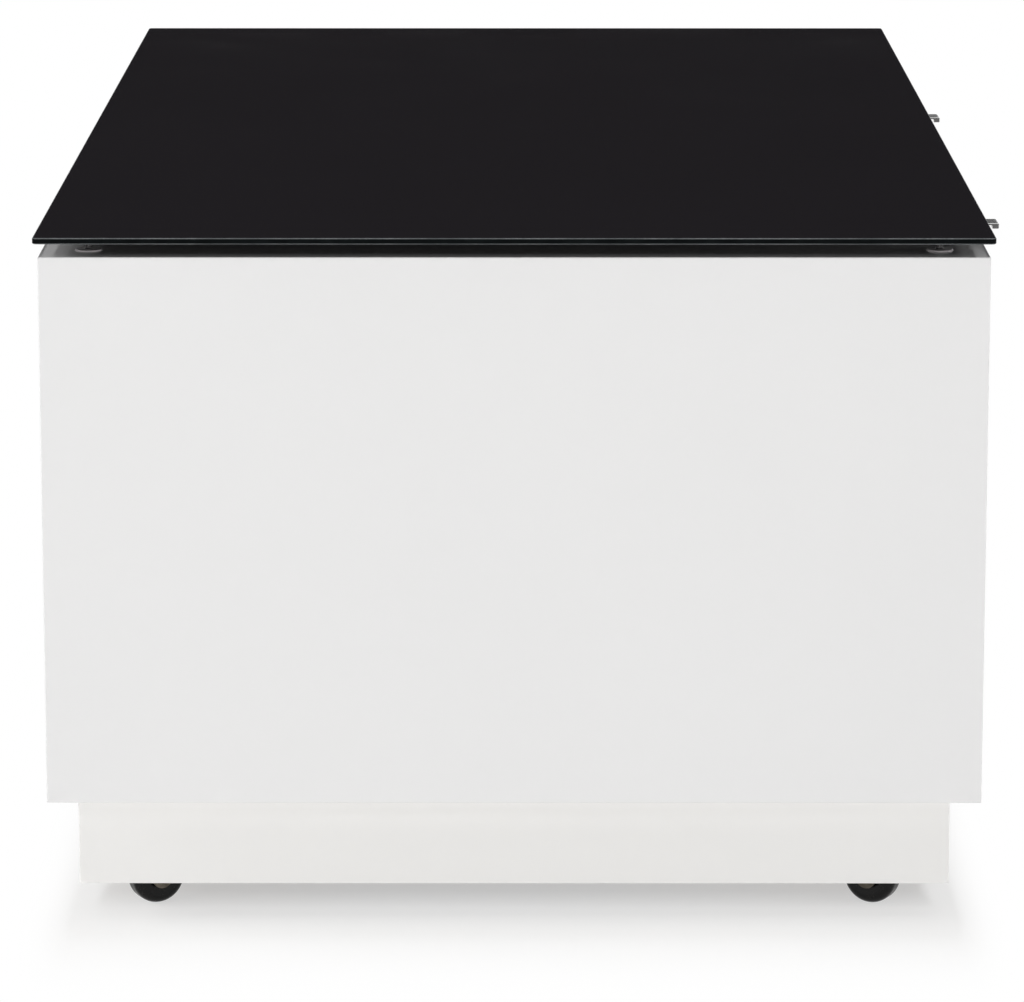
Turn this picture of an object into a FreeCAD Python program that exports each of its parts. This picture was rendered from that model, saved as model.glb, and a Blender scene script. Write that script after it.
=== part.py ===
import FreeCAD
import Part
import math
import os
from FreeCAD import Vector

# White coffee table with a black glass top, two drawers in one long side and four castors
# hidden behind a plinth. Sizes are in millimetres, +Z is up and the floor is at Z 0.
# The front is the drawer side and faces +X, so the left end faces -Y and the right end +Y.
# The cabinet is drawn round its own middle and then moved along X, so that the origin lies
# under the middle of the whole table with its pulls.

# Glass top and the clear feet it rests on
GLASS_WIDTH = 600.0
GLASS_LENGTH = 1100.0
GLASS_THICKNESS = 4.0
GLASS_OVERHANG = 3.0
GLASS_CORNER_RADIUS = 3.0
GLASS_ARRIS = 0.6
PAD_HEIGHT = 8.5
PAD_FOOT_DIAMETER = 16.5
PAD_FOOT = 1.0
PAD_FOOT_ROUND = 0.45
PAD_STEM_DIAMETER = 4.5
PAD_STEM_FILLET = 1.0
PAD_HEAD_DIAMETER = 12.0
PAD_HEAD = 1.4
PAD_SIDE_INSET = 30.0
PAD_END_INSET = 28.5

# Cabinet
BOX_HEIGHT = 351.0
PANEL_THICKNESS = 18.0
BACK_THICKNESS = 15.0
DIVIDER_THICKNESS = 18.0
EDGE_RADIUS = 0.8
DOWEL_DIAMETER = 8.0
DOWEL_LENGTH = 30.0
DOWEL_IN_PANEL = 12.0
DOWEL_STATIONS = (0.15, 0.5, 0.85)

# Plinth
PLINTH_INSET = 18.5
PLINTH_HEIGHT = 58.0
PLINTH_CLEARANCE = 25.0
PLINTH_THICKNESS = 15.0

# Drawers
FRONT_THICKNESS = 18.0
FRONT_GAP = 3.0
FRONT_STANDOFF = 1.0
DRAWER_HEADROOM = 56.0
DRAWER_FLOOR_CLEARANCE = 14.0
DRAWER_BACK_CLEARANCE = 60.0
DRAWER_WALL = 12.0
DRAWER_BOTTOM = 5.0
DRAWER_BOTTOM_HEIGHT = 10.0
GROOVE_DEPTH = 6.0
GROOVE_PLAY = 0.3
CAM_DIAMETER = 15.0
CAM_DEPTH = 9.0
CAM_INSET = 24.0
CAM_PROUD = 0.4
CAM_STATIONS = (0.3, 0.8)
BUMPER_DIAMETER = 6.0
BUMPER_PLAY = 0.1
BUMPER_INSET = 40.0

# Pulls
PULL_LENGTH = 20.0
PULL_PROJECTION = 29.0
PULL_THICKNESS = 1.6
PULL_TOP_GAP = 3.0
PULL_NOSE_WIDTH = 5.0
PULL_NOSE_HEIGHT = 4.0
PULL_NOSE_RADIUS = 1.7
PULL_NOSE_UNDER_RADIUS = 1.0
PULL_NOSE_ROOT_RADIUS = 0.9
PULL_EDGE_RADIUS = 0.5
PULL_SCREW_DIAMETER = 3.0
PULL_SCREW_LENGTH = 18.0
PULL_SCREW_PLAY = 0.3

# Roller runners
RUNNER_SPACE = 12.5
RUNNER_STEEL = 1.2
RUNNER_LIP = 2.8
RUNNER_FOOT = 10.0
RUNNER_SIDE_GAP = 1.3
RUNNER_REST_GAP = 0.3
TAIL_ROLLER_DIAMETER = 14.0
GUIDE_ROLLER_DIAMETER = 17.0
ROLLER_SHOULDER = 2.0
ROLLER_AXLE_DIAMETER = 5.0
ROLLER_END = 12.0
ROLLER_PLAY = 0.1
AXLE_HEAD = 0.7
AXLE_HEAD_RIM = 1.3
WALL_SCREW_DIAMETER = 3.5
WALL_SCREW_HEAD_DIAMETER = 7.0
WALL_SCREW_HEAD = 1.5
WALL_SCREW_LENGTH = 12.0
WALL_SCREW_STATIONS = (0.12, 0.5, 0.88)

# Castors
WHEEL_DIAMETER = 36.0
WHEEL_WIDTH = 16.0
WHEEL_TREAD_RADIUS = 5.0
WHEEL_DISH = 1.0
WHEEL_HUB_DIAMETER = 12.0
WHEEL_SIDE_GAP = 1.2
CASTOR_TRAIL = 15.0
CASTOR_SIDE_GAP = 11.0
CASTOR_END_GAP = 6.4
FORK_STEEL = 1.8
FORK_HEADROOM = 4.9
FORK_REAR_MARGIN = 1.0
FORK_LEG_RADIUS = 7.0
FORK_BEND_RADIUS = 2.5
CASTOR_AXLE_DIAMETER = 5.0
CASTOR_AXLE_HEAD = 1.2
RACE_DEPTH = 4.0
RACE_DIAMETER = 20.0
RACE_WALL = 3.2
KINGPIN_DIAMETER = 7.0
KINGPIN_HEAD_DIAMETER = 12.0
KINGPIN_HEAD = 2.0
PLATE_SIZE = 40.0
PLATE_THICKNESS = 2.0
PLATE_CORNER_RADIUS = 4.0
PLATE_HOLE_SPACING = 28.0
PLATE_HOLE_DIAMETER = 4.4
CASTOR_SCREW_DIAMETER = 3.6
CASTOR_SCREW_HEAD_DIAMETER = 7.2
CASTOR_SCREW_HEAD = 1.8
CASTOR_SCREW_LENGTH = 16.0
PIN_PLAY = 0.1
SEAT_GAP = 0.3
CASTOR_HEADINGS = {
    "front_left": -28.0,
    "back_left": 208.0,
    "front_right": 40.0,
    "back_right": 165.0,
}

# Heights and planes that follow from the sizes above
BOX_WIDTH = GLASS_WIDTH - 2 * GLASS_OVERHANG
BOX_LENGTH = GLASS_LENGTH - 2 * GLASS_OVERHANG
BOX_BOTTOM = PLINTH_CLEARANCE + PLINTH_HEIGHT
BOX_TOP = BOX_BOTTOM + BOX_HEIGHT
GLASS_BOTTOM = BOX_TOP + PAD_HEIGHT
SIDE = BOX_WIDTH / 2
END = BOX_LENGTH / 2
END_INSIDE = END - PANEL_THICKNESS
TOP_INSIDE = BOX_TOP - PANEL_THICKNESS
BOTTOM_INSIDE = BOX_BOTTOM + PANEL_THICKNESS
FRONT_INSIDE = SIDE - FRONT_THICKNESS
CARCASS_FRONT = FRONT_INSIDE - FRONT_STANDOFF
BACK_INSIDE = BACK_THICKNESS - SIDE
PULL_REACH = SIDE + PULL_PROJECTION
CABINET_X = (GLASS_WIDTH / 2 - max(GLASS_WIDTH / 2, PULL_REACH)) / 2
BAY_WIDTH = END_INSIDE - DIVIDER_THICKNESS / 2
BAY_CENTRE = DIVIDER_THICKNESS / 2 + BAY_WIDTH / 2
FRONT_WIDTH = END_INSIDE - 1.5 * FRONT_GAP
FRONT_CENTRE = FRONT_GAP / 2 + FRONT_WIDTH / 2
PULL_TOP = TOP_INSIDE - PULL_TOP_GAP
FRONT_TOP = PULL_TOP - PULL_THICKNESS
DRAWER_BASE = BOTTOM_INSIDE + DRAWER_FLOOR_CLEARANCE
DRAWER_TOP = TOP_INSIDE - DRAWER_HEADROOM
DRAWER_TAIL = BACK_INSIDE + DRAWER_BACK_CLEARANCE
DRAWER_OUTSIDE = BAY_WIDTH / 2 - RUNNER_SPACE
DRAWER_INSIDE = DRAWER_OUTSIDE - DRAWER_WALL
DRAWER_FLOOR = DRAWER_BASE + DRAWER_BOTTOM_HEIGHT
CASTOR_HEIGHT = WHEEL_DIAMETER + FORK_HEADROOM + FORK_STEEL + SEAT_GAP + RACE_DEPTH + PLATE_THICKNESS
CASTOR_SWING = CASTOR_TRAIL + WHEEL_DIAMETER / 2
PLINTH_INSIDE = PLINTH_INSET + PLINTH_THICKNESS
CASTOR_SIDE_INSET = PLINTH_INSIDE + CASTOR_SWING + CASTOR_SIDE_GAP
CASTOR_END_INSET = PLINTH_INSIDE + CASTOR_SWING + CASTOR_END_GAP

pieces = {}


def keep(name, *solids):
    """Move the solids to the shared origin and keep them as one named piece."""
    moved = []
    for solid in solids:
        copy = solid.copy()
        copy.translate(Vector(CABINET_X, 0, 0))
        moved.append(copy)
    pieces[name] = moved[0] if len(moved) == 1 else Part.makeCompound(moved)


def whole(shape):
    """Return the single solid of a shape."""
    return shape.Solids[0]


def block(x_span, y_span, z_span):
    """Return a box between two values on each axis."""
    corner = Vector(min(x_span), min(y_span), min(z_span))
    size = [abs(span[1] - span[0]) for span in (x_span, y_span, z_span)]
    return Part.makeBox(size[0], size[1], size[2], corner)


def prism(points, along):
    """Return the solid swept by a closed outline of straight edges."""
    return Part.Face(Part.makePolygon(points + [points[0]])).extrude(along)


def outline_solid(edges, along):
    """Return the solid swept by a closed outline of given edges."""
    return Part.Face(Part.Wire(edges)).extrude(along)


def line(start, end):
    return Part.makeLine(start, end)


def arc(start, middle, end):
    return Part.Arc(start, middle, end).toShape()


def rod(diameter, start, end):
    """Return a cylinder between two points."""
    along = end - start
    return Part.makeCylinder(diameter / 2, along.Length, start, along)


def turned(edges, centre, axis):
    """Return the solid of revolution of a closed half outline."""
    return whole(Part.Face(Part.Wire(edges)).revolve(centre, axis, 360))


def turned_points(points, centre, axis):
    return whole(Part.Face(Part.makePolygon(points + [points[0]])).revolve(centre, axis, 360))


def softened(shape, radius):
    """Round every edge of a plain block."""
    return whole(shape.makeFillet(radius, shape.Edges))


def upright_edges(shape):
    found = []
    for edge in shape.Edges:
        if abs(edge.tangentAt(edge.FirstParameter).z) > 0.99:
            found.append(edge)
    return found


def glass_top():
    half_width = GLASS_WIDTH / 2
    half_length = GLASS_LENGTH / 2
    sheet = block(
        (-half_width, half_width),
        (-half_length, half_length),
        (GLASS_BOTTOM, GLASS_BOTTOM + GLASS_THICKNESS),
    )
    sheet = whole(sheet.makeFillet(GLASS_CORNER_RADIUS, upright_edges(sheet)))
    rims = []
    for face in sheet.Faces:
        if abs(face.normalAt(0, 0).z) > 0.99:
            rims.extend(face.Edges)
    keep("glass_top", whole(sheet.makeChamfer(GLASS_ARRIS, rims)))


def glass_pads():
    """Six clear feet for the glass, three along each long side: a round foot, a stem and a head."""
    foot_radius = PAD_FOOT_DIAMETER / 2
    stem_radius = PAD_STEM_DIAMETER / 2
    head_radius = PAD_HEAD_DIAMETER / 2
    head_under = PAD_HEIGHT - PAD_HEAD
    fillet = PAD_STEM_FILLET
    slant = math.sqrt(0.5)
    pads = []
    for x in (PAD_SIDE_INSET - SIDE, SIDE - PAD_SIDE_INSET):
        for y in (PAD_END_INSET - END, 0.0, END - PAD_END_INSET):
            foot = Vector(x, y, BOX_TOP)

            def at(out, up):
                return foot + Vector(out, 0, up)

            def rounded(out, up, radius, out_sign, up_sign):
                return at(out + out_sign * radius * slant, up + up_sign * radius * slant)

            edge = foot_radius - PAD_FOOT_ROUND
            low = PAD_FOOT + fillet
            high = head_under - fillet
            wide = stem_radius + fillet
            edges = [
                line(at(0, 0), at(foot_radius, 0)),
                line(at(foot_radius, 0), at(foot_radius, PAD_FOOT - PAD_FOOT_ROUND)),
                arc(
                    at(foot_radius, PAD_FOOT - PAD_FOOT_ROUND),
                    rounded(edge, PAD_FOOT - PAD_FOOT_ROUND, PAD_FOOT_ROUND, 1, 1),
                    at(edge, PAD_FOOT),
                ),
                line(at(edge, PAD_FOOT), at(wide, PAD_FOOT)),
                arc(at(wide, PAD_FOOT), rounded(wide, low, fillet, -1, -1), at(stem_radius, low)),
                line(at(stem_radius, low), at(stem_radius, high)),
                arc(at(stem_radius, high), rounded(wide, high, fillet, -1, 1), at(wide, head_under)),
                line(at(wide, head_under), at(head_radius, head_under)),
                line(at(head_radius, head_under), at(head_radius, PAD_HEIGHT)),
                line(at(head_radius, PAD_HEIGHT), at(0, PAD_HEIGHT)),
                line(at(0, PAD_HEIGHT), at(0, 0)),
            ]
            pads.append(turned(edges, foot, Vector(0, 0, 1)))
    keep("glass_pads", *pads)


def wrap_panels():
    """The top and the two ends, cut from one softened block so that they meet in mitres."""
    shell = softened(block((-SIDE, SIDE), (-END, END), (BOX_BOTTOM, BOX_TOP)), EDGE_RADIUS)
    hollow = block((-SIDE - 1, SIDE + 1), (-END_INSIDE, END_INSIDE), (BOX_BOTTOM - 1, TOP_INSIDE))
    shell = shell.cut(hollow)
    wedge = prism(
        [
            Vector(-SIDE - 1, -END, BOX_TOP),
            Vector(-SIDE - 1, END, BOX_TOP),
            Vector(-SIDE - 1, END_INSIDE, TOP_INSIDE),
            Vector(-SIDE - 1, -END_INSIDE, TOP_INSIDE),
        ],
        Vector(BOX_WIDTH + 2, 0, 0),
    )
    keep("top_panel", whole(shell.common(wedge)))
    ends = sorted(shell.cut(wedge).Solids, key=lambda solid: solid.CenterOfMass.y)
    keep("left_end_panel", ends[0])
    keep("right_end_panel", ends[-1])


def inner_panels():
    across = (-END_INSIDE, END_INSIDE)
    keep("back_panel", block((-SIDE, BACK_INSIDE), across, (BOX_BOTTOM, TOP_INSIDE)))
    keep("bottom_panel", block((BACK_INSIDE, CARCASS_FRONT), across, (BOX_BOTTOM, BOTTOM_INSIDE)))
    half = DIVIDER_THICKNESS / 2
    keep(
        "centre_divider",
        block((BACK_INSIDE, CARCASS_FRONT), (-half, half), (BOTTOM_INSIDE, TOP_INSIDE)),
    )


def carcass_dowels():
    """Wooden dowels, three in each joint of the divider and of the bottom's ends."""
    depth = CARCASS_FRONT - BACK_INSIDE
    stations = [BACK_INSIDE + depth * share for share in DOWEL_STATIONS]
    outer = DOWEL_IN_PANEL
    inner = DOWEL_LENGTH - DOWEL_IN_PANEL
    mid_height = (BOX_BOTTOM + BOTTOM_INSIDE) / 2
    dowels = []
    for x in stations:
        dowels.append(rod(DOWEL_DIAMETER, Vector(x, 0, BOTTOM_INSIDE - outer), Vector(x, 0, BOTTOM_INSIDE + inner)))
        dowels.append(rod(DOWEL_DIAMETER, Vector(x, 0, TOP_INSIDE - inner), Vector(x, 0, TOP_INSIDE + outer)))
        for side in (-1, 1):
            start = Vector(x, side * (END_INSIDE - inner), mid_height)
            end = Vector(x, side * (END_INSIDE + outer), mid_height)
            dowels.append(rod(DOWEL_DIAMETER, start, end))
    keep("carcass_dowels", *dowels)


def plinth():
    """Four rails cut from one softened ring, the ends running the full width."""
    half_width = SIDE - PLINTH_INSET
    half_length = END - PLINTH_INSET
    inner_width = half_width - PLINTH_THICKNESS
    inner_length = half_length - PLINTH_THICKNESS
    heights = (PLINTH_CLEARANCE, BOX_BOTTOM)
    ring = block((-half_width, half_width), (-half_length, half_length), heights)
    ring = whole(ring.makeFillet(EDGE_RADIUS, upright_edges(ring)))
    ring = ring.cut(block((-inner_width, inner_width), (-inner_length, inner_length), heights))
    full = (-half_width - 1, half_width + 1)
    between = (-inner_length, inner_length)
    keep("plinth_left_rail", whole(ring.common(block(full, (-half_length - 1, -inner_length), heights))))
    keep("plinth_right_rail", whole(ring.common(block(full, (inner_length, half_length + 1), heights))))
    keep("plinth_front_rail", whole(ring.common(block((0, half_width + 1), between, heights))))
    keep("plinth_back_rail", whole(ring.common(block((-half_width - 1, 0), between, heights))))


def castor_places():
    """Yield the name, swivel centre and heading of each castor."""
    for name, heading in CASTOR_HEADINGS.items():
        x = SIDE - CASTOR_SIDE_INSET
        y = END - CASTOR_END_INSET
        if name.startswith("back"):
            x = -x
        if name.endswith("left"):
            y = -y
        yield name, Vector(x, y, 0), heading


def castor_blocks():
    side_reach = CASTOR_SIDE_INSET - PLINTH_INSIDE
    end_reach = CASTOR_END_INSET - PLINTH_INSIDE
    blocks = []
    for _, centre, _ in castor_places():
        x_span = (centre.x - side_reach, centre.x + side_reach)
        y_span = (centre.y - end_reach, centre.y + end_reach)
        blocks.append(block(x_span, y_span, (CASTOR_HEIGHT, BOX_BOTTOM)))
    keep("castor_blocks", *blocks)


def drawer_panels(name, bay_y, front_y):
    """The lacquered front and the four boards behind it."""
    front = softened(
        block(
            (FRONT_INSIDE, SIDE),
            (front_y - FRONT_WIDTH / 2, front_y + FRONT_WIDTH / 2),
            (BOX_BOTTOM, FRONT_TOP),
        ),
        EDGE_RADIUS,
    )
    groove_top = DRAWER_FLOOR + DRAWER_BOTTOM + GROOVE_PLAY
    groove = block(
        (DRAWER_TAIL - 1, FRONT_INSIDE + GROOVE_DEPTH),
        (bay_y - DRAWER_INSIDE - GROOVE_DEPTH, bay_y + DRAWER_INSIDE + GROOVE_DEPTH),
        (DRAWER_FLOOR, groove_top),
    )
    keep(name + "_front", whole(front.cut(groove)))
    for label, side in (("left", -1), ("right", 1)):
        wall = block(
            (DRAWER_TAIL, FRONT_INSIDE),
            (bay_y + side * DRAWER_INSIDE, bay_y + side * DRAWER_OUTSIDE),
            (DRAWER_BASE, DRAWER_TOP),
        )
        keep(name + "_" + label + "_side", whole(wall.cut(groove)))
    inside = (bay_y - DRAWER_INSIDE, bay_y + DRAWER_INSIDE)
    keep(name + "_back", block((DRAWER_TAIL, DRAWER_TAIL + DRAWER_WALL), inside, (groove_top, DRAWER_TOP)))
    play = GROOVE_PLAY
    keep(
        name + "_bottom",
        block(
            (DRAWER_TAIL, FRONT_INSIDE + GROOVE_DEPTH - play),
            (inside[0] - GROOVE_DEPTH + play, inside[1] + GROOVE_DEPTH - play),
            (DRAWER_FLOOR, DRAWER_FLOOR + DRAWER_BOTTOM),
        ),
    )
    height = DRAWER_TOP - DRAWER_FLOOR
    cams = []
    for side in (-1, 1):
        for share in CAM_STATIONS:
            x = FRONT_INSIDE - CAM_INSET
            z = DRAWER_FLOOR + height * share
            start = Vector(x, bay_y + side * (DRAWER_INSIDE - CAM_PROUD), z)
            end = Vector(x, bay_y + side * (DRAWER_INSIDE + CAM_DEPTH), z)
            cams.append(rod(CAM_DIAMETER, start, end))
    keep(name + "_cams", *cams)


def drawer_bumpers():
    """Clear dots on the carcass's front edges that the closed drawers come to rest on."""
    dots = []
    for hand in (-1, 1):
        near = FRONT_GAP / 2 + BUMPER_DIAMETER / 2
        low = (BOX_BOTTOM + BOTTOM_INSIDE) / 2
        places = [
            (near, DRAWER_TOP),
            (FRONT_CENTRE - FRONT_WIDTH / 2 + BUMPER_INSET, low),
            (FRONT_CENTRE + FRONT_WIDTH / 2 - BUMPER_INSET, low),
        ]
        for y, z in places:
            start = Vector(CARCASS_FRONT, hand * y, z)
            end = Vector(FRONT_INSIDE - BUMPER_PLAY, hand * y, z)
            dots.append(rod(BUMPER_DIAMETER, start, end))
    keep("drawer_bumpers", *dots)


def pull_screw_places(y):
    x = FRONT_INSIDE + FRONT_THICKNESS / 2
    return [Vector(x, y + side * PULL_LENGTH / 4, 0) for side in (-1, 1)]


def countersunk(diameter, head_diameter, top, length):
    """A screw with a flat countersunk head, pointing down from its top."""
    radius = diameter / 2
    head = head_diameter / 2
    depth = head - radius
    points = [
        top,
        top + Vector(head, 0, 0),
        top + Vector(radius, 0, -depth),
        top + Vector(radius, 0, radius - length),
        top + Vector(0, 0, -length),
    ]
    return turned_points(points, top, Vector(0, 0, 1))


def pull(name, y):
    """A small tab on the front's top edge with a thick rounded nose at its outer end."""
    start = y - PULL_LENGTH / 2
    inner_end = FRONT_INSIDE + EDGE_RADIUS
    nose_in = PULL_REACH - PULL_NOSE_WIDTH
    nose_under = PULL_TOP - PULL_NOSE_HEIGHT
    upper = PULL_NOSE_RADIUS
    lower = PULL_NOSE_UNDER_RADIUS
    root = PULL_NOSE_ROOT_RADIUS

    def at(x, z):
        return Vector(x, start, z)

    def corner(x, z, radius, first, last):
        """A quarter round about a centre, from one angle to another."""
        spots = []
        for angle in (first, (first + last) / 2, last):
            turn = math.radians(angle)
            spots.append(at(x + radius * math.cos(turn), z + radius * math.sin(turn)))
        return arc(*spots)

    edges = [
        line(at(inner_end, FRONT_TOP), at(inner_end, PULL_TOP)),
        line(at(inner_end, PULL_TOP), at(PULL_REACH - upper, PULL_TOP)),
        corner(PULL_REACH - upper, PULL_TOP - upper, upper, 90, 0),
        line(at(PULL_REACH, PULL_TOP - upper), at(PULL_REACH, nose_under + lower)),
        corner(PULL_REACH - lower, nose_under + lower, lower, 0, -90),
        line(at(PULL_REACH - lower, nose_under), at(nose_in + lower, nose_under)),
        corner(nose_in + lower, nose_under + lower, lower, -90, -180),
        line(at(nose_in, nose_under + lower), at(nose_in, FRONT_TOP - root)),
        corner(nose_in - root, FRONT_TOP - root, root, 0, 90),
        line(at(nose_in - root, FRONT_TOP), at(inner_end, FRONT_TOP)),
    ]
    tab = outline_solid(edges, Vector(0, PULL_LENGTH, 0))
    ends = []
    for face in tab.Faces:
        if abs(face.normalAt(0, 0).y) > 0.99:
            ends.extend(face.Edges)
    tab = whole(tab.makeFillet(PULL_EDGE_RADIUS, ends))
    screws = []
    head = 2 * PULL_SCREW_DIAMETER
    for place in pull_screw_places(y):
        top = Vector(place.x, place.y, PULL_TOP)
        hole = countersunk(
            PULL_SCREW_DIAMETER + 2 * PULL_SCREW_PLAY,
            head + 2 * PULL_SCREW_PLAY,
            top,
            2 * PULL_THICKNESS,
        )
        tab = tab.cut(hole)
        screws.append(countersunk(PULL_SCREW_DIAMETER, head, top, PULL_SCREW_LENGTH))
    keep(name + "_pull", whole(tab))
    keep(name + "_pull_screws", *screws)


# Runner outline, as distances out from the drawer's side and up from its lower edge
TAIL_AXLE_UP = RUNNER_REST_GAP + TAIL_ROLLER_DIAMETER / 2
CHANNEL_CEILING = 2 * RUNNER_REST_GAP + TAIL_ROLLER_DIAMETER
CHANNEL_TOP = CHANNEL_CEILING + RUNNER_STEEL
RAIL_UNDER = CHANNEL_TOP + 2 * RUNNER_REST_GAP + RUNNER_LIP
GUIDE_AXLE_UP = RAIL_UNDER - RUNNER_REST_GAP - GUIDE_ROLLER_DIAMETER / 2
WALL_WEB = RUNNER_SPACE - RUNNER_STEEL
LIP_OUT = WALL_WEB - RUNNER_SIDE_GAP
FLANGE_IN = RUNNER_STEEL + RUNNER_SIDE_GAP
TAIL_ROLLER_IN = RUNNER_STEEL + ROLLER_SHOULDER
TAIL_ROLLER_OUT = WALL_WEB - WALL_SCREW_HEAD - AXLE_HEAD - 2 * RUNNER_REST_GAP
GUIDE_ROLLER_IN = FLANGE_IN + AXLE_HEAD + RUNNER_REST_GAP
GUIDE_ROLLER_OUT = LIP_OUT - RUNNER_STEEL - 2 * RUNNER_REST_GAP
GUIDE_X = CARCASS_FRONT - ROLLER_END
TAIL_X = DRAWER_TAIL + ROLLER_END
CHANNEL_FRONT = GUIDE_X - GUIDE_ROLLER_DIAMETER / 2 - 2 * RUNNER_REST_GAP


def runner_point(bay_y, side, x, out, up):
    return Vector(x, bay_y + side * (DRAWER_OUTSIDE + out), DRAWER_BASE + up)


def roller(diameter, inner, outer):
    """A plain roller with a bore."""
    body = rod(diameter, inner, outer)
    return whole(body.cut(rod(ROLLER_AXLE_DIAMETER + 2 * ROLLER_PLAY, inner, outer)))


def roller_axle(web, head_start, head_end):
    """A rivet from a web through its roller, with a wider head beyond it."""
    shank = rod(ROLLER_AXLE_DIAMETER, web, head_end)
    head = rod(ROLLER_AXLE_DIAMETER + 2 * AXLE_HEAD_RIM, head_start, head_end)
    return shank.fuse(head)


def runners(name, bay_y):
    """Both runner pairs of one drawer with their four rollers and the wall screws."""
    wall_members = []
    drawer_members = []
    screws = []
    for label, side in (("left", -1), ("right", 1)):

        def at(x, out, up):
            return runner_point(bay_y, side, x, out, up)

        channel_outline = [
            (FLANGE_IN, 0),
            (WALL_WEB, 0),
            (WALL_WEB, CHANNEL_CEILING),
            (FLANGE_IN, CHANNEL_CEILING),
            (FLANGE_IN, CHANNEL_TOP),
            (RUNNER_SPACE, CHANNEL_TOP),
            (RUNNER_SPACE, -RUNNER_STEEL),
            (FLANGE_IN, -RUNNER_STEEL),
        ]
        channel = prism(
            [at(DRAWER_TAIL, out, up) for out, up in channel_outline],
            Vector(CHANNEL_FRONT - DRAWER_TAIL, 0, 0),
        )
        nose_outline = [
            (WALL_WEB, CHANNEL_TOP),
            (RUNNER_SPACE, CHANNEL_TOP),
            (RUNNER_SPACE, -RUNNER_STEEL),
            (WALL_WEB, -RUNNER_STEEL),
        ]
        nose = prism(
            [at(CHANNEL_FRONT, out, up) for out, up in nose_outline],
            Vector(CARCASS_FRONT - CHANNEL_FRONT, 0, 0),
        )
        guide_axle = roller_axle(
            at(GUIDE_X, WALL_WEB, GUIDE_AXLE_UP),
            at(GUIDE_X, GUIDE_ROLLER_IN - RUNNER_REST_GAP, GUIDE_AXLE_UP),
            at(GUIDE_X, FLANGE_IN, GUIDE_AXLE_UP),
        )
        wall_member = channel.fuse(nose).fuse(guide_axle).removeSplitter()
        for share in WALL_SCREW_STATIONS:
            x = DRAWER_TAIL + share * (CHANNEL_FRONT - DRAWER_TAIL)
            up = CHANNEL_CEILING / 2
            hole = rod(WALL_SCREW_DIAMETER + 2 * ROLLER_PLAY, at(x, WALL_WEB, up), at(x, RUNNER_SPACE, up))
            wall_member = wall_member.cut(hole)
            head = rod(WALL_SCREW_HEAD_DIAMETER, at(x, WALL_WEB - WALL_SCREW_HEAD, up), at(x, WALL_WEB, up))
            shank = rod(WALL_SCREW_DIAMETER, at(x, WALL_WEB, up), at(x, WALL_WEB + WALL_SCREW_LENGTH, up))
            screws.append(whole(head.fuse(shank)))
        wall_members.append(whole(wall_member))

        rail_outline = [
            (-RUNNER_FOOT, -RUNNER_STEEL),
            (RUNNER_STEEL, -RUNNER_STEEL),
            (RUNNER_STEEL, RAIL_UNDER),
            (LIP_OUT - RUNNER_STEEL, RAIL_UNDER),
            (LIP_OUT - RUNNER_STEEL, RAIL_UNDER - RUNNER_LIP),
            (LIP_OUT, RAIL_UNDER - RUNNER_LIP),
            (LIP_OUT, RAIL_UNDER + RUNNER_STEEL),
            (0, RAIL_UNDER + RUNNER_STEEL),
            (0, 0),
            (-RUNNER_FOOT, 0),
        ]
        rail = prism(
            [at(DRAWER_TAIL, out, up) for out, up in rail_outline],
            Vector(FRONT_INSIDE - DRAWER_TAIL, 0, 0),
        )
        tail_axle = roller_axle(
            at(TAIL_X, RUNNER_STEEL, TAIL_AXLE_UP),
            at(TAIL_X, TAIL_ROLLER_OUT + RUNNER_REST_GAP, TAIL_AXLE_UP),
            at(TAIL_X, TAIL_ROLLER_OUT + RUNNER_REST_GAP + AXLE_HEAD, TAIL_AXLE_UP),
        )
        drawer_members.append(whole(rail.fuse(tail_axle).removeSplitter()))
        keep(
            name + "_" + label + "_guide_roller",
            roller(
                GUIDE_ROLLER_DIAMETER,
                at(GUIDE_X, GUIDE_ROLLER_IN, GUIDE_AXLE_UP),
                at(GUIDE_X, GUIDE_ROLLER_OUT, GUIDE_AXLE_UP),
            ),
        )
        keep(
            name + "_" + label + "_tail_roller",
            roller(
                TAIL_ROLLER_DIAMETER,
                at(TAIL_X, TAIL_ROLLER_IN, TAIL_AXLE_UP),
                at(TAIL_X, TAIL_ROLLER_OUT, TAIL_AXLE_UP),
            ),
        )
    keep(name + "_wall_runners", *wall_members)
    keep(name + "_runners", *drawer_members)
    return screws


def plate_hole_places():
    half = PLATE_HOLE_SPACING / 2
    return [Vector(x, y, 0) for x in (-half, half) for y in (-half, half)]


def castor_plate():
    """The fixed plate with the upper ball race pressed below it."""
    half = PLATE_SIZE / 2
    under = CASTOR_HEIGHT - PLATE_THICKNESS
    plate = block((-half, half), (-half, half), (under, CASTOR_HEIGHT))
    plate = plate.makeFillet(PLATE_CORNER_RADIUS, upright_edges(plate))
    race_bottom = Vector(0, 0, under - RACE_DEPTH)
    race_top = Vector(0, 0, under)
    race = rod(RACE_DIAMETER, race_bottom, race_top)
    race = race.cut(rod(RACE_DIAMETER - 2 * RACE_WALL, race_bottom, race_top))
    plate = plate.fuse(race)
    for place in plate_hole_places():
        plate = plate.cut(
            rod(
                PLATE_HOLE_DIAMETER,
                place + Vector(0, 0, under),
                place + Vector(0, 0, CASTOR_HEIGHT),
            )
        )
    return whole(plate.removeSplitter())


WEB_TOP = CASTOR_HEIGHT - PLATE_THICKNESS - RACE_DEPTH - SEAT_GAP
WEB_UNDER = WEB_TOP - FORK_STEEL
LEG_IN = WHEEL_WIDTH / 2 + WHEEL_SIDE_GAP
LEG_OUT = LEG_IN + FORK_STEEL
AXLE_UP = WHEEL_DIAMETER / 2


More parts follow.
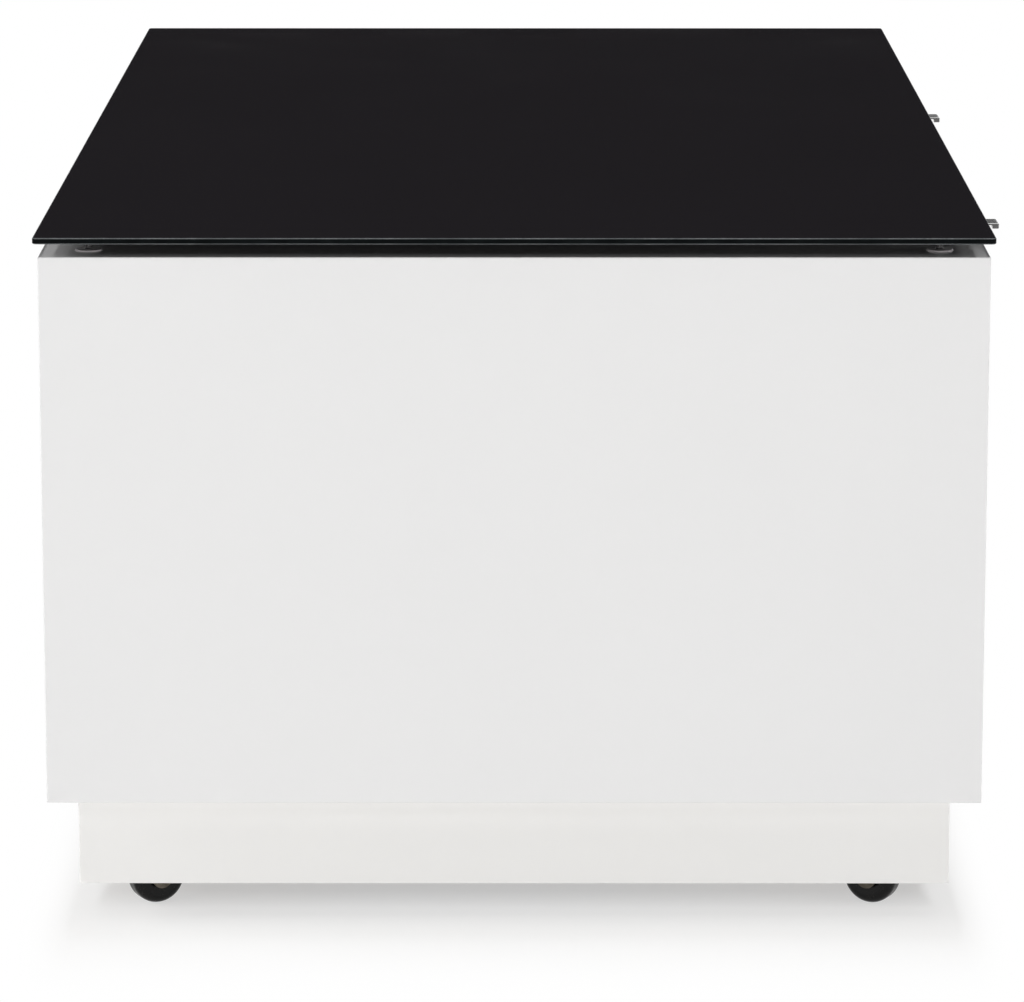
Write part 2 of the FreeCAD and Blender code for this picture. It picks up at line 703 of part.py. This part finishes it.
def kingpin():
    top = Vector(0, 0, CASTOR_HEIGHT - PLATE_THICKNESS)
    head_top = WEB_UNDER - SEAT_GAP
    radius = KINGPIN_DIAMETER / 2
    head = KINGPIN_HEAD_DIAMETER / 2
    points = [
        top,
        Vector(radius, 0, top.z),
        Vector(radius, 0, head_top),
        Vector(head, 0, head_top),
        Vector(head - KINGPIN_HEAD / 2, 0, head_top - KINGPIN_HEAD),
        Vector(0, 0, head_top - KINGPIN_HEAD),
    ]
    return turned_points(points, top, Vector(0, 0, 1))


def fork():
    """Pressed steel fork: a web under the race and a tapering leg on each side of the wheel."""
    rear = -(RACE_DIAMETER / 2 + FORK_REAR_MARGIN)
    axle = Vector(CASTOR_TRAIL, 0, AXLE_UP)
    front = CASTOR_TRAIL + FORK_LEG_RADIUS
    web = block((rear, front), (-LEG_OUT, LEG_OUT), (WEB_UNDER, WEB_TOP))
    body = web
    away = Vector(rear - axle.x, 0, WEB_UNDER - axle.z)
    turn = math.acos(FORK_LEG_RADIUS / away.Length)
    bearing = math.atan2(away.z, away.x) + turn
    touch = axle + Vector(FORK_LEG_RADIUS * math.cos(bearing), 0, FORK_LEG_RADIUS * math.sin(bearing))
    for start in (-LEG_OUT, LEG_IN):
        shift = Vector(0, start, 0)
        edges = [
            line(Vector(rear, 0, WEB_TOP) + shift, Vector(rear, 0, WEB_UNDER) + shift),
            line(Vector(rear, 0, WEB_UNDER) + shift, touch + shift),
            arc(
                touch + shift,
                axle + Vector(0, 0, -FORK_LEG_RADIUS) + shift,
                axle + Vector(FORK_LEG_RADIUS, 0, 0) + shift,
            ),
            line(axle + Vector(FORK_LEG_RADIUS, 0, 0) + shift, Vector(front, 0, WEB_TOP) + shift),
            line(Vector(front, 0, WEB_TOP) + shift, Vector(rear, 0, WEB_TOP) + shift),
        ]
        body = body.fuse(outline_solid(edges, Vector(0, FORK_STEEL, 0)))
    body = whole(body.removeSplitter())
    bends = []
    for edge in body.Edges:
        box = edge.BoundBox
        if box.ZMin > WEB_TOP - 0.01 and abs(abs(box.Center.y) - LEG_OUT) < 0.01:
            bends.append(edge)
    body = body.makeFillet(FORK_BEND_RADIUS, bends)
    pin_hole = rod(KINGPIN_DIAMETER + 2 * PIN_PLAY, Vector(0, 0, WEB_UNDER), Vector(0, 0, WEB_TOP))
    axle_hole = rod(
        CASTOR_AXLE_DIAMETER,
        axle + Vector(0, -LEG_OUT, 0),
        axle + Vector(0, LEG_OUT, 0),
    )
    return whole(body.cut(pin_hole).cut(axle_hole))


def wheel():
    """One smooth wheel with round shoulders and slightly hollow faces."""
    axle = Vector(CASTOR_TRAIL, 0, AXLE_UP)
    radius = WHEEL_DIAMETER / 2
    half = WHEEL_WIDTH / 2
    tread = WHEEL_TREAD_RADIUS
    shoulder = radius - tread
    hub = WHEEL_HUB_DIAMETER / 2
    bore = CASTOR_AXLE_DIAMETER / 2 + PIN_PLAY
    hub_half = half + WHEEL_SIDE_GAP - SEAT_GAP
    web = half - WHEEL_DISH
    slant = tread * math.sqrt(0.5)

    def at(out, up):
        return axle + Vector(0, out, up)

    edges = [
        line(at(-hub_half, bore), at(-hub_half, hub)),
        line(at(-hub_half, hub), at(-web, hub)),
        line(at(-web, hub), at(-half, shoulder)),
        arc(at(-half, shoulder), at(tread - half - slant, shoulder + slant), at(tread - half, radius)),
        line(at(tread - half, radius), at(half - tread, radius)),
        arc(at(half - tread, radius), at(half - tread + slant, shoulder + slant), at(half, shoulder)),
        line(at(half, shoulder), at(web, hub)),
        line(at(web, hub), at(hub_half, hub)),
        line(at(hub_half, hub), at(hub_half, bore)),
        line(at(hub_half, bore), at(-hub_half, bore)),
    ]
    return turned(edges, axle, Vector(0, 1, 0))


def castor_axle():
    """A rivet through the fork's legs with a bevelled head on each side."""
    axle = Vector(CASTOR_TRAIL, 0, AXLE_UP)
    radius = CASTOR_AXLE_DIAMETER / 2
    head = radius + CASTOR_AXLE_HEAD
    end = LEG_OUT + CASTOR_AXLE_HEAD
    points = [
        axle + Vector(0, -end, 0),
        axle + Vector(0, -end, radius),
        axle + Vector(0, -LEG_OUT, head),
        axle + Vector(0, -LEG_OUT, radius),
        axle + Vector(0, LEG_OUT, radius),
        axle + Vector(0, LEG_OUT, head),
        axle + Vector(0, end, radius),
        axle + Vector(0, end, 0),
    ]
    return turned_points(points, axle, Vector(0, 1, 0))


def castor_screws():
    under = CASTOR_HEIGHT - PLATE_THICKNESS
    screws = []
    for place in plate_hole_places():
        head_bottom = place + Vector(0, 0, under - CASTOR_SCREW_HEAD)
        seat = place + Vector(0, 0, under)
        tip = place + Vector(0, 0, under + CASTOR_SCREW_LENGTH)
        head = rod(CASTOR_SCREW_HEAD_DIAMETER, head_bottom, seat)
        screws.append(whole(head.fuse(rod(CASTOR_SCREW_DIAMETER, seat, tip))))
    return screws


def placed(shape, centre, heading):
    copy = shape.copy()
    copy.rotate(Vector(0, 0, 0), Vector(0, 0, 1), heading)
    copy.translate(centre)
    return copy


def castors():
    plates = []
    pins = []
    screws = []
    for name, centre, heading in castor_places():
        plates.append(placed(castor_plate(), centre, 0))
        pins.append(placed(kingpin(), centre, 0))
        for screw in castor_screws():
            screws.append(placed(screw, centre, 0))
        keep(name + "_castor_fork", placed(fork(), centre, heading))
        keep(name + "_castor_axle", placed(castor_axle(), centre, heading))
        keep(name + "_castor_wheel", placed(wheel(), centre, heading))
    keep("castor_plates", *plates)
    keep("castor_kingpins", *pins)
    keep("castor_screws", *screws)


glass_top()
glass_pads()
wrap_panels()
inner_panels()
carcass_dowels()
plinth()
castor_blocks()
drawer_bumpers()
runner_screws = []
for drawer, hand in (("left_drawer", -1), ("right_drawer", 1)):
    drawer_panels(drawer, hand * BAY_CENTRE, hand * FRONT_CENTRE)
    pull(drawer, hand * FRONT_CENTRE)
    runner_screws.extend(runners(drawer, hand * BAY_CENTRE))
keep("runner_screws", *runner_screws)
castors()

os.makedirs("parts", exist_ok=True)
for piece_name, piece in pieces.items():
    piece.exportStep("parts/" + piece_name + ".step")
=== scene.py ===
"""The looks of the coffee table: its materials, a white studio floor, soft lamps and the camera."""

import math

import bpy
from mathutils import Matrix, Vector


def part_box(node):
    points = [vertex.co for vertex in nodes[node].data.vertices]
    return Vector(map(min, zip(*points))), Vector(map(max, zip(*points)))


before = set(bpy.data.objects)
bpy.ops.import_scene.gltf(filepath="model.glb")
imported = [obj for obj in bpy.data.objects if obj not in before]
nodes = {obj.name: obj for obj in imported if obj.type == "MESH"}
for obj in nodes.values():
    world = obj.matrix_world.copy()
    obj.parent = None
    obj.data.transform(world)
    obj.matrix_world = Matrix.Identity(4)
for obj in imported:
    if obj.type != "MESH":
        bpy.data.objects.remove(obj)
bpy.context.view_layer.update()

# Nodes with a finish of their own, or with several. Lengths are in metres, and a facing is the size of one
# component of a face's normal.
PLINTH_SIDES = ("left", "right", "front", "back")
GLASS_FLAT_FACING = 0.95
GLASS_RIM_FACING = 0.25
PULLS = ("left_drawer_pull", "right_drawer_pull")
PULL_EDGE = 0.0006
PULL_END_FACING = 0.98
PULL_EDGE_FACING = 0.15
PAD_FOOT = 0.0011

# Camera: the end view of the photograph, fitted to its measured corners. Angles are in degrees.
CAMERA_PLACE = (-0.0102, -3.8980, 0.9763)
CAMERA_AZIMUTH = 0.0709
CAMERA_ELEVATION = 11.7529
CAMERA_LENS = 191.54
CAMERA_SENSOR = 36.0
CAMERA_NEAR = 0.1
CAMERA_FAR = 300.0

# Floor: white to the camera and to reflections away from the object, with its shadow left in near it. The
# shares are of plain white at those distances out from the plinth, and the rest is lit floor. Distances past
# the plinth's long sides are stretched.
FLOOR_HALF = 80.0
FLOOR_COLOUR = (0.932, 0.92, 0.898, 1.0)
FLOOR_WHITE = (
    (-0.15, 0.40),
    (-0.07, 0.46),
    (-0.03, 0.64),
    (0.0, 0.645),
    (0.03, 0.63),
    (0.057, 0.78),
    (0.085, 0.865),
    (0.12, 0.955),
    (0.155, 0.99),
    (0.19, 1.0),
)
FLOOR_SIDE_STRETCH = 5.0

# Dome: radiance by the sine of the elevation. The pale rim is the horizon, the dark band is what the glass
# shows at low angles, and the bright cap is the light from overhead.
DOME_STEPS = (
    (-1.0, 1.0),
    (0.094, 1.0),
    (0.108, 0.012),
    (0.21, 0.012),
    (0.50, 0.15),
    (0.72, 0.15),
    (0.90, 1.35),
    (1.0, 1.35),
)

# Lamps: name, azimuth (0 is the camera's side, 90 is +X), elevation, distance, width, height, watts.
LAMPS = (
    ("front_panel", -6.0, 2.3, 5.0, 4.5, 0.7, 72.0),
    ("front_top_panel", -6.0, 30.0, 5.0, 4.5, 0.9, 20.5),
    ("left_softbox", -90.0, 21.0, 5.0, 3.6, 1.1, 106.0),
    ("right_panel", 90.0, 2.3, 5.0, 4.5, 0.7, 92.0),
    ("back_panel", 180.0, 2.3, 5.0, 4.5, 0.7, 92.0),
)
LAMP_AIM = Vector((0.0, 0.0, 0.25))

# The range in which most of a noise's values lie.
MOST = (0.3, 0.7)


def add_math(tree, operation, *values):
    """Adds a maths node whose inputs are linked to sockets or set to numbers, and returns its output."""
    node = tree.nodes.new("ShaderNodeMath")
    node.operation = operation
    for socket, value in zip(node.inputs, values):
        if isinstance(value, bpy.types.NodeSocket):
            tree.links.new(value, socket)
        else:
            socket.default_value = value
    return node.outputs[0]


class Look:
    """A node material being made: its shader, its object coordinates, and short ways to add nodes."""

    def __init__(self, name, **sockets):
        self.material = bpy.data.materials.new(name)
        self.material.use_nodes = True
        self.tree = self.material.node_tree
        self.shader = self.tree.nodes["Principled BSDF"]
        self.place = self.node("ShaderNodeTexCoord").outputs["Object"]
        for socket, value in sockets.items():
            self.put(self.shader.inputs[socket.replace("_", " ")], value)

    def node(self, kind, **settings):
        made = self.tree.nodes.new(kind)
        for key, value in settings.items():
            setattr(made, key, value)
        return made

    def put(self, socket, value):
        """Links another node's output to a socket, or sets its value. A colour may be three numbers."""
        if isinstance(value, bpy.types.NodeSocket):
            self.tree.links.new(value, socket)
        elif isinstance(value, tuple) and len(value) == 3:
            socket.default_value = (*value, 1.0)
        else:
            socket.default_value = value

    def finished(self, colour, roughness, normal=None):
        """Sets what varies over the surface, and returns the material."""
        self.put(self.shader.inputs["Base Color"], colour)
        self.put(self.shader.inputs["Roughness"], roughness)
        if normal is not None:
            self.put(self.shader.inputs["Normal"], normal)
        return self.material

    def stretched(self, scale):
        node = self.node("ShaderNodeMapping")
        self.put(node.inputs["Vector"], self.place)
        node.inputs["Scale"].default_value = scale
        return node.outputs["Vector"]

    def noise(self, scale, detail=2.0, roughness=0.5, place=None):
        node = self.node("ShaderNodeTexNoise")
        self.put(node.inputs["Vector"], self.place if place is None else place)
        node.inputs["Scale"].default_value = scale
        node.inputs["Detail"].default_value = detail
        node.inputs["Roughness"].default_value = roughness
        return node.outputs["Fac"]

    def cells(self, scale, place=None):
        node = self.node("ShaderNodeTexVoronoi")
        self.put(node.inputs["Vector"], self.place if place is None else place)
        node.inputs["Scale"].default_value = scale
        return node.outputs["Distance"]

    def ranged(self, value, given, wanted=(0.0, 1.0)):
        """Maps a value smoothly from one range to another, and holds it at the ends."""
        node = self.node("ShaderNodeMapRange", interpolation_type="SMOOTHSTEP")
        self.put(node.inputs["Value"], value)
        node.inputs["From Min"].default_value = given[0]
        node.inputs["From Max"].default_value = given[1]
        node.inputs["To Min"].default_value = wanted[0]
        node.inputs["To Max"].default_value = wanted[1]
        return node.outputs["Result"]

    def scaled(self, value, share):
        return add_math(self.tree, "MULTIPLY", value, share)

    def mixed(self, share, first, second):
        node = self.node("ShaderNodeMix", data_type="RGBA")
        self.put(node.inputs["Factor"], share)
        self.put(node.inputs[6], first)
        self.put(node.inputs[7], second)
        return node.outputs[2]

    def bump(self, height, strength, distance, under=None):
        node = self.node("ShaderNodeBump")
        node.inputs["Strength"].default_value = strength
        node.inputs["Distance"].default_value = distance
        self.put(node.inputs["Height"], height)
        if under is not None:
            self.put(node.inputs["Normal"], under)
        return node.outputs["Normal"]

    def facing_up(self):
        """How far the surface faces up on the object, from -1 to 1."""
        normal = self.node("ShaderNodeNewGeometry").outputs["True Normal"]
        turned = self.node(
            "ShaderNodeVectorTransform",
            vector_type="NORMAL",
            convert_from="WORLD",
            convert_to="OBJECT",
        )
        self.put(turned.inputs["Vector"], normal)
        split = self.node("ShaderNodeSeparateXYZ")
        self.put(split.inputs["Vector"], turned.outputs["Vector"])
        return split.outputs["Z"]


def lacquer(name, dark, light):
    look = Look(name, IOR=1.5)
    colour = look.mixed(look.noise(5.0), dark, light)
    smears = look.ranged(look.noise(28.0, detail=3.0), (0.35, 0.75), (0.07, 0.12))
    board = look.bump(look.noise(3.0, detail=1.0), strength=0.05, distance=0.002)
    spray = look.bump(look.noise(320.0, detail=1.0), strength=0.03, distance=0.0004, under=board)
    return look.finished(colour, smears, spray)


def white_lacquer():
    return lacquer("white_lacquer_paint", (0.795, 0.795, 0.800), (0.815, 0.815, 0.820))


# Painted light: a paler, warmer copy of the box's lacquer, so that the plinth, in shade under the box,
# renders as pale as the box.
def painted_light_plinth_lacquer():
    return lacquer("painted_light_plinth_paint", (0.845, 0.840, 0.830), (0.865, 0.860, 0.850))


def white_board():
    look = Look("white_melamine", IOR=1.5)
    colour = look.mixed(look.noise(9.0), (0.77, 0.77, 0.755), (0.80, 0.80, 0.785))
    roughness = look.ranged(look.noise(60.0, detail=4.0), MOST, (0.36, 0.48))
    return look.finished(colour, roughness, look.bump(look.noise(1600.0), strength=0.10, distance=0.0003))


def hardboard():
    """Brown fibres with a white facing on the upper side."""
    look = Look("faced_hardboard", IOR=1.5)
    fibres = look.noise(900.0, detail=4.0, roughness=0.6, place=look.stretched((1.0, 0.35, 1.0)))
    brown = look.mixed(look.ranged(fibres, MOST), (0.10, 0.055, 0.026), (0.24, 0.145, 0.078))
    white = look.mixed(look.noise(12.0), (0.74, 0.74, 0.725), (0.77, 0.77, 0.755))
    colour = look.mixed(look.ranged(look.facing_up(), (0.4, 0.6)), brown, white)
    roughness = look.ranged(look.noise(80.0, detail=3.0), MOST, (0.42, 0.62))
    return look.finished(colour, roughness, look.bump(fibres, strength=0.12, distance=0.0004))


def beech():
    look = Look("beech_wood", IOR=1.45)
    grain = look.noise(60.0, detail=5.0, roughness=0.62, place=look.stretched((1.0, 0.09, 1.0)))
    rings = look.noise(420.0, detail=3.0, place=look.stretched((1.0, 0.05, 1.0)))
    flecks = look.ranged(look.cells(260.0, place=look.stretched((1.0, 0.16, 1.0))), (0.05, 0.22), (1.0, 0.0))
    tone = look.mixed(look.ranged(grain, (0.3, 0.72)), (0.50, 0.315, 0.185), (0.66, 0.46, 0.29))
    colour = look.mixed(look.scaled(flecks, 0.35), tone, (0.36, 0.20, 0.105))
    roughness = look.ranged(rings, MOST, (0.48, 0.62))
    return look.finished(colour, roughness, look.bump(rings, strength=0.18, distance=0.0004))


def black_glass():
    look = Look("black_glass", IOR=1.52)
    dust = look.ranged(look.cells(95.0), (0.030, 0.055), (1.0, 0.0))
    body = look.mixed(look.noise(6.0), (0.0206, 0.0174, 0.0217), (0.0234, 0.0200, 0.0245))
    colour = look.mixed(look.scaled(dust, 0.012), body, (0.5, 0.5, 0.5))
    smears = look.ranged(look.noise(14.0, detail=4.0, roughness=0.6), (0.4, 0.8), (0.025, 0.045))
    return look.finished(colour, smears)


def glass_rim():
    look = Look("black_glass_rim", IOR=1.52, Specular_IOR_Level=0.025)
    waves = look.noise(70.0, detail=4.0, roughness=0.6, place=look.stretched((1.0, 0.5, 2.5)))
    spread = look.ranged(waves, (0.35, 0.75))
    colour = look.mixed(spread, (0.0022, 0.0030, 0.0033), (0.0052, 0.0068, 0.0072))
    roughness = look.ranged(waves, MOST, (0.12, 0.30))
    return look.finished(colour, roughness, look.bump(waves, strength=0.10, distance=0.0006))


# The arrises are paler than the rims: partly the grey of ground glass, partly painted highlight, with
# patches of painted highlight along them.
def glass_arris():
    look = Look("ground_glass_arris_with_painted_highlight", IOR=1.52)
    ground = look.noise(420.0, detail=4.0, roughness=0.65)
    highlight_runs = look.ranged(look.noise(26.0, detail=3.0, roughness=0.6), (0.35, 0.65))
    tone = look.mixed(highlight_runs, (0.045, 0.053, 0.057), (0.120, 0.130, 0.136))
    colour = look.mixed(look.ranged(ground, MOST, (0.0, 0.5)), tone, (0.035, 0.042, 0.045))
    roughness = look.ranged(ground, MOST, (0.34, 0.50))
    return look.finished(colour, roughness, look.bump(ground, strength=0.20, distance=0.0003))


def vinyl(name, clear, dark, light, rough):
    look = Look(name, IOR=1.46, Transmission_Weight=clear)
    colour = look.mixed(look.noise(180.0), dark, light)
    roughness = look.ranged(look.noise(420.0, detail=3.0), MOST, rough)
    return look.finished(colour, roughness, look.bump(look.noise(900.0), strength=0.05, distance=0.0002))


# Painted light: the feet are made a pale milky vinyl so that they read as lit.
def clear_vinyl():
    return vinyl("milky_painted_light_vinyl_moulding", 0.30, (0.78, 0.735, 0.755), (0.86, 0.82, 0.835), (0.10, 0.20))


# Painted shade: the stems and heads are made a dark smoky vinyl so that they vanish in the shade under the
# glass.
def painted_shade_stem_vinyl():
    return vinyl("painted_shade_vinyl_moulding", 0.55, (0.060, 0.057, 0.058), (0.095, 0.091, 0.092), (0.22, 0.34))


def plated(name, dark, light, rough):
    look = Look(name, Metallic=1.0)
    scuffs = look.noise(420.0, detail=3.0, roughness=0.6, place=look.stretched((1.0, 0.2, 1.0)))
    colour = look.mixed(look.noise(120.0), dark, light)
    roughness = look.ranged(scuffs, (0.35, 0.8), rough)
    return look.finished(colour, roughness, look.bump(scuffs, strength=0.006, distance=0.0002))


def chrome():
    return plated("satin_chrome", (0.55, 0.55, 0.545), (0.62, 0.62, 0.613), (0.20, 0.27))


# Painted shade: a darker chrome for the pulls' cut ends, in place of the dark reflection that they show.
def shaded_end_chrome():
    return plated("painted_shade_chrome_end", (0.105, 0.103, 0.102), (0.150, 0.148, 0.146), (0.16, 0.26))


# Painted highlight: a brighter chrome for the rounded edges beside the cut ends, in place of the highlight
# line along them.
def highlight_edge_chrome():
    return plated("painted_highlight_chrome_edge", (0.85, 0.85, 0.845), (0.90, 0.90, 0.89), (0.05, 0.09))


def steel(name, dark, light, rough):
    look = Look(name, Metallic=1.0)
    drawn = look.noise(1400.0, detail=3.0, roughness=0.6)
    colour = look.mixed(look.ranged(look.noise(150.0, detail=3.0), MOST), dark, light)
    roughness = look.ranged(drawn, MOST, rough)
    return look.finished(colour, roughness, look.bump(drawn, strength=0.06, distance=0.0002))


def zinc_steel():
    return steel("zinc_plated_steel", (0.50, 0.50, 0.485), (0.63, 0.615, 0.57), (0.26, 0.42))


def dark_steel():
    return steel("bronzed_steel", (0.085, 0.074, 0.060), (0.16, 0.142, 0.115), (0.28, 0.46))


def white_steel():
    look = Look("white_epoxy_steel", IOR=1.5)
    grain = look.noise(2600.0)
    colour = look.mixed(look.noise(40.0), (0.735, 0.735, 0.72), (0.775, 0.775, 0.76))
    roughness = look.ranged(grain, MOST, (0.28, 0.42))
    return look.finished(colour, roughness, look.bump(grain, strength=0.10, distance=0.0002))


def white_nylon():
    look = Look("white_nylon_moulding", IOR=1.53)
    colour = look.mixed(look.noise(90.0, detail=3.0), (0.70, 0.69, 0.65), (0.79, 0.78, 0.745))
    roughness = look.ranged(look.noise(500.0, detail=3.0), MOST, (0.34, 0.50))
    return look.finished(colour, roughness, look.bump(look.noise(1500.0), strength=0.08, distance=0.0002))


def black_nylon():
    look = Look("black_nylon_moulding", IOR=1.53, Specular_IOR_Level=0.20)
    scuff = look.noise(260.0, detail=5.0, roughness=0.65)
    worn = look.ranged(scuff, (0.45, 0.85))
    colour = look.mixed(worn, (0.0030, 0.0028, 0.0027), (0.0085, 0.0078, 0.0074))
    roughness = look.ranged(scuff, (0.3, 0.8), (0.17, 0.34))
    return look.finished(colour, roughness, look.bump(look.noise(1800.0), strength=0.04, distance=0.0002))


FINISHES = {
    "white_lacquer": white_lacquer,
    "white_board": white_board,
    "hardboard": hardboard,
    "beech": beech,
    "black_glass": black_glass,
    "clear_vinyl": clear_vinyl,
    "chrome": chrome,
    "zinc_steel": zinc_steel,
    "dark_steel": dark_steel,
    "white_steel": white_steel,
    "white_nylon": white_nylon,
    "black_nylon": black_nylon,
}


def dress_nodes():
    """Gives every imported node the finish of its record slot."""
    finishes = {slot: make() for slot, make in FINISHES.items()}
    for node in nodes.values():
        for index, material in enumerate(node.data.materials):
            node.data.materials[index] = finishes[material.name.split(".")[0]]


def dress_plinth():
    paint = painted_light_plinth_lacquer()
    for side in PLINTH_SIDES:
        nodes["plinth_%s_rail" % side].data.materials[0] = paint


def dress_glass():
    """Gives the upright rims a finish of their own and the arrises a paler one, partly the grey of ground
    glass and partly painted highlight, and leaves the flat faces polished.
    """
    glass = nodes["glass_top"].data
    glass.materials.append(glass_rim())
    glass.materials.append(glass_arris())
    for face in glass.polygons:
        upward = abs(face.normal.z)
        if upward > GLASS_FLAT_FACING:
            face.material_index = 0
        elif upward < GLASS_RIM_FACING:
            face.material_index = 1
        else:
            face.material_index = 2


def dress_pulls():
    """Gives the pulls' cut ends a darker chrome, as painted shade, and the rounded edges next to them a
    brighter chrome, as a painted highlight.
    """
    painted_shade_end, painted_highlight_edge = shaded_end_chrome(), highlight_edge_chrome()
    for name in PULLS:
        low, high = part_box(name)
        tab = nodes[name].data
        tab.materials.append(painted_shade_end)
        tab.materials.append(painted_highlight_edge)
        for face in tab.polygons:
            sideways = abs(face.normal.y)
            inward = min(face.center.y - low.y, high.y - face.center.y)
            if sideways > PULL_END_FACING and inward < PULL_EDGE:
                face.material_index = 1
            elif sideways > PULL_EDGE_FACING and inward < PULL_EDGE:
                face.material_index = 2


def dress_pads():
    """Leaves the pads' feet a pale milky vinyl, painted light, and makes the stems and heads above them a
    dark smoky vinyl, painted shade.
    """
    pads = nodes["glass_pads"].data
    pads.materials.append(painted_shade_stem_vinyl())
    foot_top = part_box("glass_pads")[0].z + PAD_FOOT
    for face in pads.polygons:
        face.material_index = 1 if face.center.z > foot_top else 0


def grey(level):
    return (level, level, level, 1.0)


def levels_along(tree, value, steps):
    """Grey levels along a value, straight between the (value, level) steps and held past the ends."""
    first, last = steps[0][0], steps[-1][0]
    span = tree.nodes.new("ShaderNodeMapRange")
    span.inputs["From Min"].default_value = first
    span.inputs["From Max"].default_value = last
    tree.links.new(value, span.inputs["Value"])
    ramp = tree.nodes.new("ShaderNodeValToRGB")
    tree.links.new(span.outputs["Result"], ramp.inputs["Fac"])
    stops = ramp.color_ramp.elements
    stops[0].color = grey(steps[0][1])
    stops[1].color = grey(steps[-1][1])
    for place, level in steps[1:-1]:
        stops.new((place - first) / (last - first)).color = grey(level)
    return ramp.outputs["Color"]


def plinth_box():
    corners = [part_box("plinth_%s_rail" % side) for side in PLINTH_SIDES]
    low = [min(corner[0][axis] for corner in corners) for axis in range(3)]
    high = [max(corner[1][axis] for corner in corners) for axis in range(3)]
    return low, high


def plinth_distance(tree):
    """How far a point of the floor lies out from the plinth, and below zero under it."""
    place = tree.nodes.new("ShaderNodeSeparateXYZ")
    tree.links.new(tree.nodes.new("ShaderNodeTexCoord").outputs["Object"], place.inputs[0])
    low, high = plinth_box()
    past = []
    for axis, stretch in ((0, FLOOR_SIDE_STRETCH), (1, 1.0)):
        middle, half = (low[axis] + high[axis]) / 2, (high[axis] - low[axis]) / 2
        aside = add_math(tree, "ABSOLUTE", add_math(tree, "SUBTRACT", place.outputs[axis], middle))
        past.append(add_math(tree, "MULTIPLY", add_math(tree, "SUBTRACT", aside, half), stretch))
    squares = [add_math(tree, "POWER", add_math(tree, "MAXIMUM", value, 0.0), 2.0) for value in past]
    outside = add_math(tree, "SQRT", add_math(tree, "ADD", *squares))
    inside = add_math(tree, "MINIMUM", add_math(tree, "MAXIMUM", *past), 0.0)
    return add_math(tree, "ADD", outside, inside)


def white_share(tree):
    """The share of plain white that the camera, reflections and glass see at a point of the floor."""
    share = levels_along(tree, plinth_distance(tree), FLOOR_WHITE)
    path = tree.nodes.new("ShaderNodeLightPath")
    seen = add_math(tree, "MAXIMUM", path.outputs["Is Camera Ray"], path.outputs["Is Glossy Ray"])
    seen = add_math(tree, "MAXIMUM", seen, path.outputs["Is Transmission Ray"])
    return add_math(tree, "MULTIPLY", seen, share)


def add_mix(tree, share, first, second):
    """Adds a mix of two shaders, and returns its output."""
    node = tree.nodes.new("ShaderNodeMixShader")
    for socket, value in zip(node.inputs, (share, first, second)):
        tree.links.new(value, socket)
    return node.outputs[0]


def floor_material():
    """The lit floor mixed with plain white, and clear from below."""
    material = bpy.data.materials.new("white_floor")
    material.use_nodes = True
    tree = material.node_tree
    tree.nodes.clear()
    lit = tree.nodes.new("ShaderNodeBsdfDiffuse")
    lit.inputs["Color"].default_value = FLOOR_COLOUR
    white = tree.nodes.new("ShaderNodeEmission")
    clear = tree.nodes.new("ShaderNodeBsdfTransparent")
    below = tree.nodes.new("ShaderNodeNewGeometry").outputs["Backfacing"]
    upper = add_mix(tree, white_share(tree), lit.outputs[0], white.outputs[0])
    surface = add_mix(tree, below, upper, clear.outputs[0])
    tree.links.new(surface, tree.nodes.new("ShaderNodeOutputMaterial").inputs["Surface"])
    return material


def floor():
    mesh = bpy.data.meshes.new("floor")
    corners = [(x * FLOOR_HALF, y * FLOOR_HALF, 0.0) for x, y in ((-1, -1), (1, -1), (1, 1), (-1, 1))]
    mesh.from_pydata(corners, [], [(0, 1, 2, 3)])
    mesh.materials.append(floor_material())
    plane = bpy.data.objects.new("floor", mesh)
    bpy.context.scene.collection.objects.link(plane)


def dome():
    world = bpy.data.worlds.new("dome")
    world.use_nodes = True
    tree = world.node_tree
    way = tree.nodes.new("ShaderNodeSeparateXYZ")
    tree.links.new(tree.nodes.new("ShaderNodeTexCoord").outputs["Generated"], way.inputs[0])
    radiance = levels_along(tree, way.outputs["Z"], DOME_STEPS)
    tree.links.new(radiance, tree.nodes["Background"].inputs["Color"])
    bpy.context.scene.world = world


def outward(azimuth, elevation):
    """The direction out from the object at those angles in degrees, as LAMPS counts them."""
    around, up = math.radians(azimuth), math.radians(elevation)
    return Vector((math.sin(around) * math.cos(up), -math.cos(around) * math.cos(up), math.sin(up)))


def set_up(thing, place, back):
    """Adds a lamp or the camera to the scene at a place, facing away from the direction behind it."""
    thing.location = place
    thing.rotation_mode = "QUATERNION"
    thing.rotation_quaternion = (-back).to_track_quat("-Z", "Y")
    bpy.context.scene.collection.objects.link(thing)


def lamps():
    """Soft lamps, hidden from reflections: in the black glass one would look like a missing corner."""
    for name, azimuth, elevation, distance, width, height, watts in LAMPS:
        light = bpy.data.lights.new(name, "AREA")
        light.shape = "RECTANGLE"
        light.size = width
        light.size_y = height
        light.energy = watts
        lamp = bpy.data.objects.new(name, light)
        lamp.visible_camera = False
        lamp.visible_glossy = False
        back = outward(azimuth, elevation)
        set_up(lamp, LAMP_AIM + back * distance, back)


def camera():
    data = bpy.data.cameras.new("camera")
    data.lens = CAMERA_LENS
    data.sensor_width = CAMERA_SENSOR
    data.clip_start = CAMERA_NEAR
    data.clip_end = CAMERA_FAR
    made = bpy.data.objects.new("camera", data)
    set_up(made, CAMERA_PLACE, outward(CAMERA_AZIMUTH, CAMERA_ELEVATION))
    bpy.context.scene.camera = made


bpy.context.scene.view_settings.view_transform = "Standard"
dress_nodes()
dress_plinth()
dress_glass()
dress_pulls()
dress_pads()
floor()
dome()
lamps()
camera()
